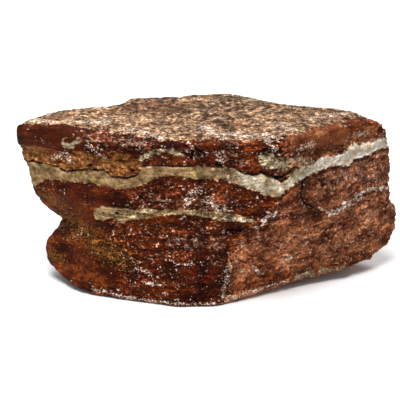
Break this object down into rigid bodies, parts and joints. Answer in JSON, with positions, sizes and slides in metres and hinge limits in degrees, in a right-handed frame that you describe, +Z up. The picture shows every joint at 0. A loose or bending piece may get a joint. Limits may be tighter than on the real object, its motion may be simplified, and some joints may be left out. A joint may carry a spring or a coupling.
{
  "type": "aquascaping rock",
  "caption": "Blocky aquascaping rock with split faces, bedding ledges and an undercut end, standing on a flat foot.",
  "frame": {"origin": "middle of the foot of the rock's box, on the surface that it stands on", "axes": "+X along the rock's length towards the end with the overhanging shoulder, -Y towards the split faces with the front corner, +Z up"},
  "size_m": [0.205, 0.092, 0.092],
  "materials": {
    "banded_stone": "rough split faces with a few glinting quartz grains"
  },
  "bodies": {
    "root": {"rock": "banded_stone"}
  },
  "joints": []
}
